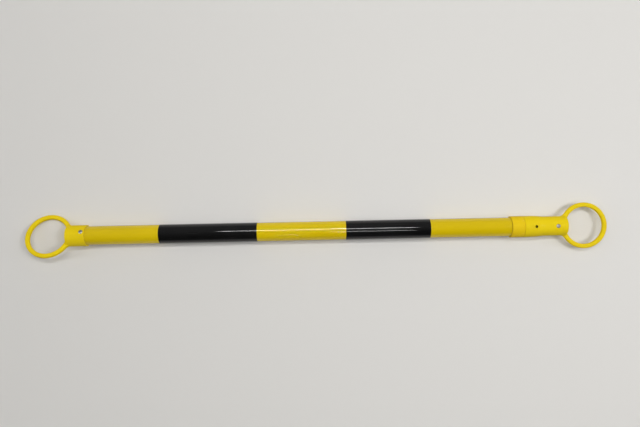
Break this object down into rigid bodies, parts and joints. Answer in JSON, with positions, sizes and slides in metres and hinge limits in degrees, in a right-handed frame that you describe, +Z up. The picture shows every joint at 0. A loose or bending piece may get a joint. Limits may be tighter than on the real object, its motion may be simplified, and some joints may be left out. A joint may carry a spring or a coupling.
{
  "type": "telescopic cone bar",
  "caption": "Striped telescopic barrier bar with a ring at each end that drops over the top of a traffic cone, lying closed on the floor.",
  "frame": {"origin": "on the floor under the bar's axis, midway between the two ring centres with the bar closed", "axes": "+X along the bar from the fixed ring to the sliding ring, +Y across the bar, +Z up"},
  "size_m": [1.1724, 0.0924, 0.0425],
  "materials": {
    "tube_yellow": "glossy extruded yellow plastic",
    "film_black": "glossy black film",
    "moulding_yellow": "satin moulded yellow plastic",
    "collar_yellow": "satin moulded yellow plastic",
    "rivet_aluminium": "bare aluminium",
    "mandrel_steel": "broken steel",
    "rubber_black": "matt black rubber",
    "guide_grey": "matt grey moulded plastic"
  },
  "bodies": {
    "outer": {"outer_tube": "tube_yellow", "black_band_left": "film_black", "black_band_right": "film_black", "fixed_ring_end": "moulding_yellow", "fixed_rivet": "rivet_aluminium", "fixed_rivet_mandrel": "mandrel_steel", "collar": "collar_yellow"},
    "grip": {"friction_ring": "rubber_black"},
    "inner": {"inner_tube": "tube_yellow", "guide_plug": "guide_grey", "sliding_ring_end": "moulding_yellow", "sliding_rivet": "rivet_aluminium", "sliding_rivet_mandrel": "mandrel_steel"}
  },
  "joints": [
    {"name": "swivel", "type": "hinge", "parent": "outer", "child": "grip", "pos_m": [0.40955, 0, 0.02125], "axis": [1, 0, 0], "continuous": true},
    {"name": "telescope", "type": "slide", "parent": "grip", "child": "inner", "axis": [1, 0, 0], "range_m": [0, 0.8]}
  ]
}
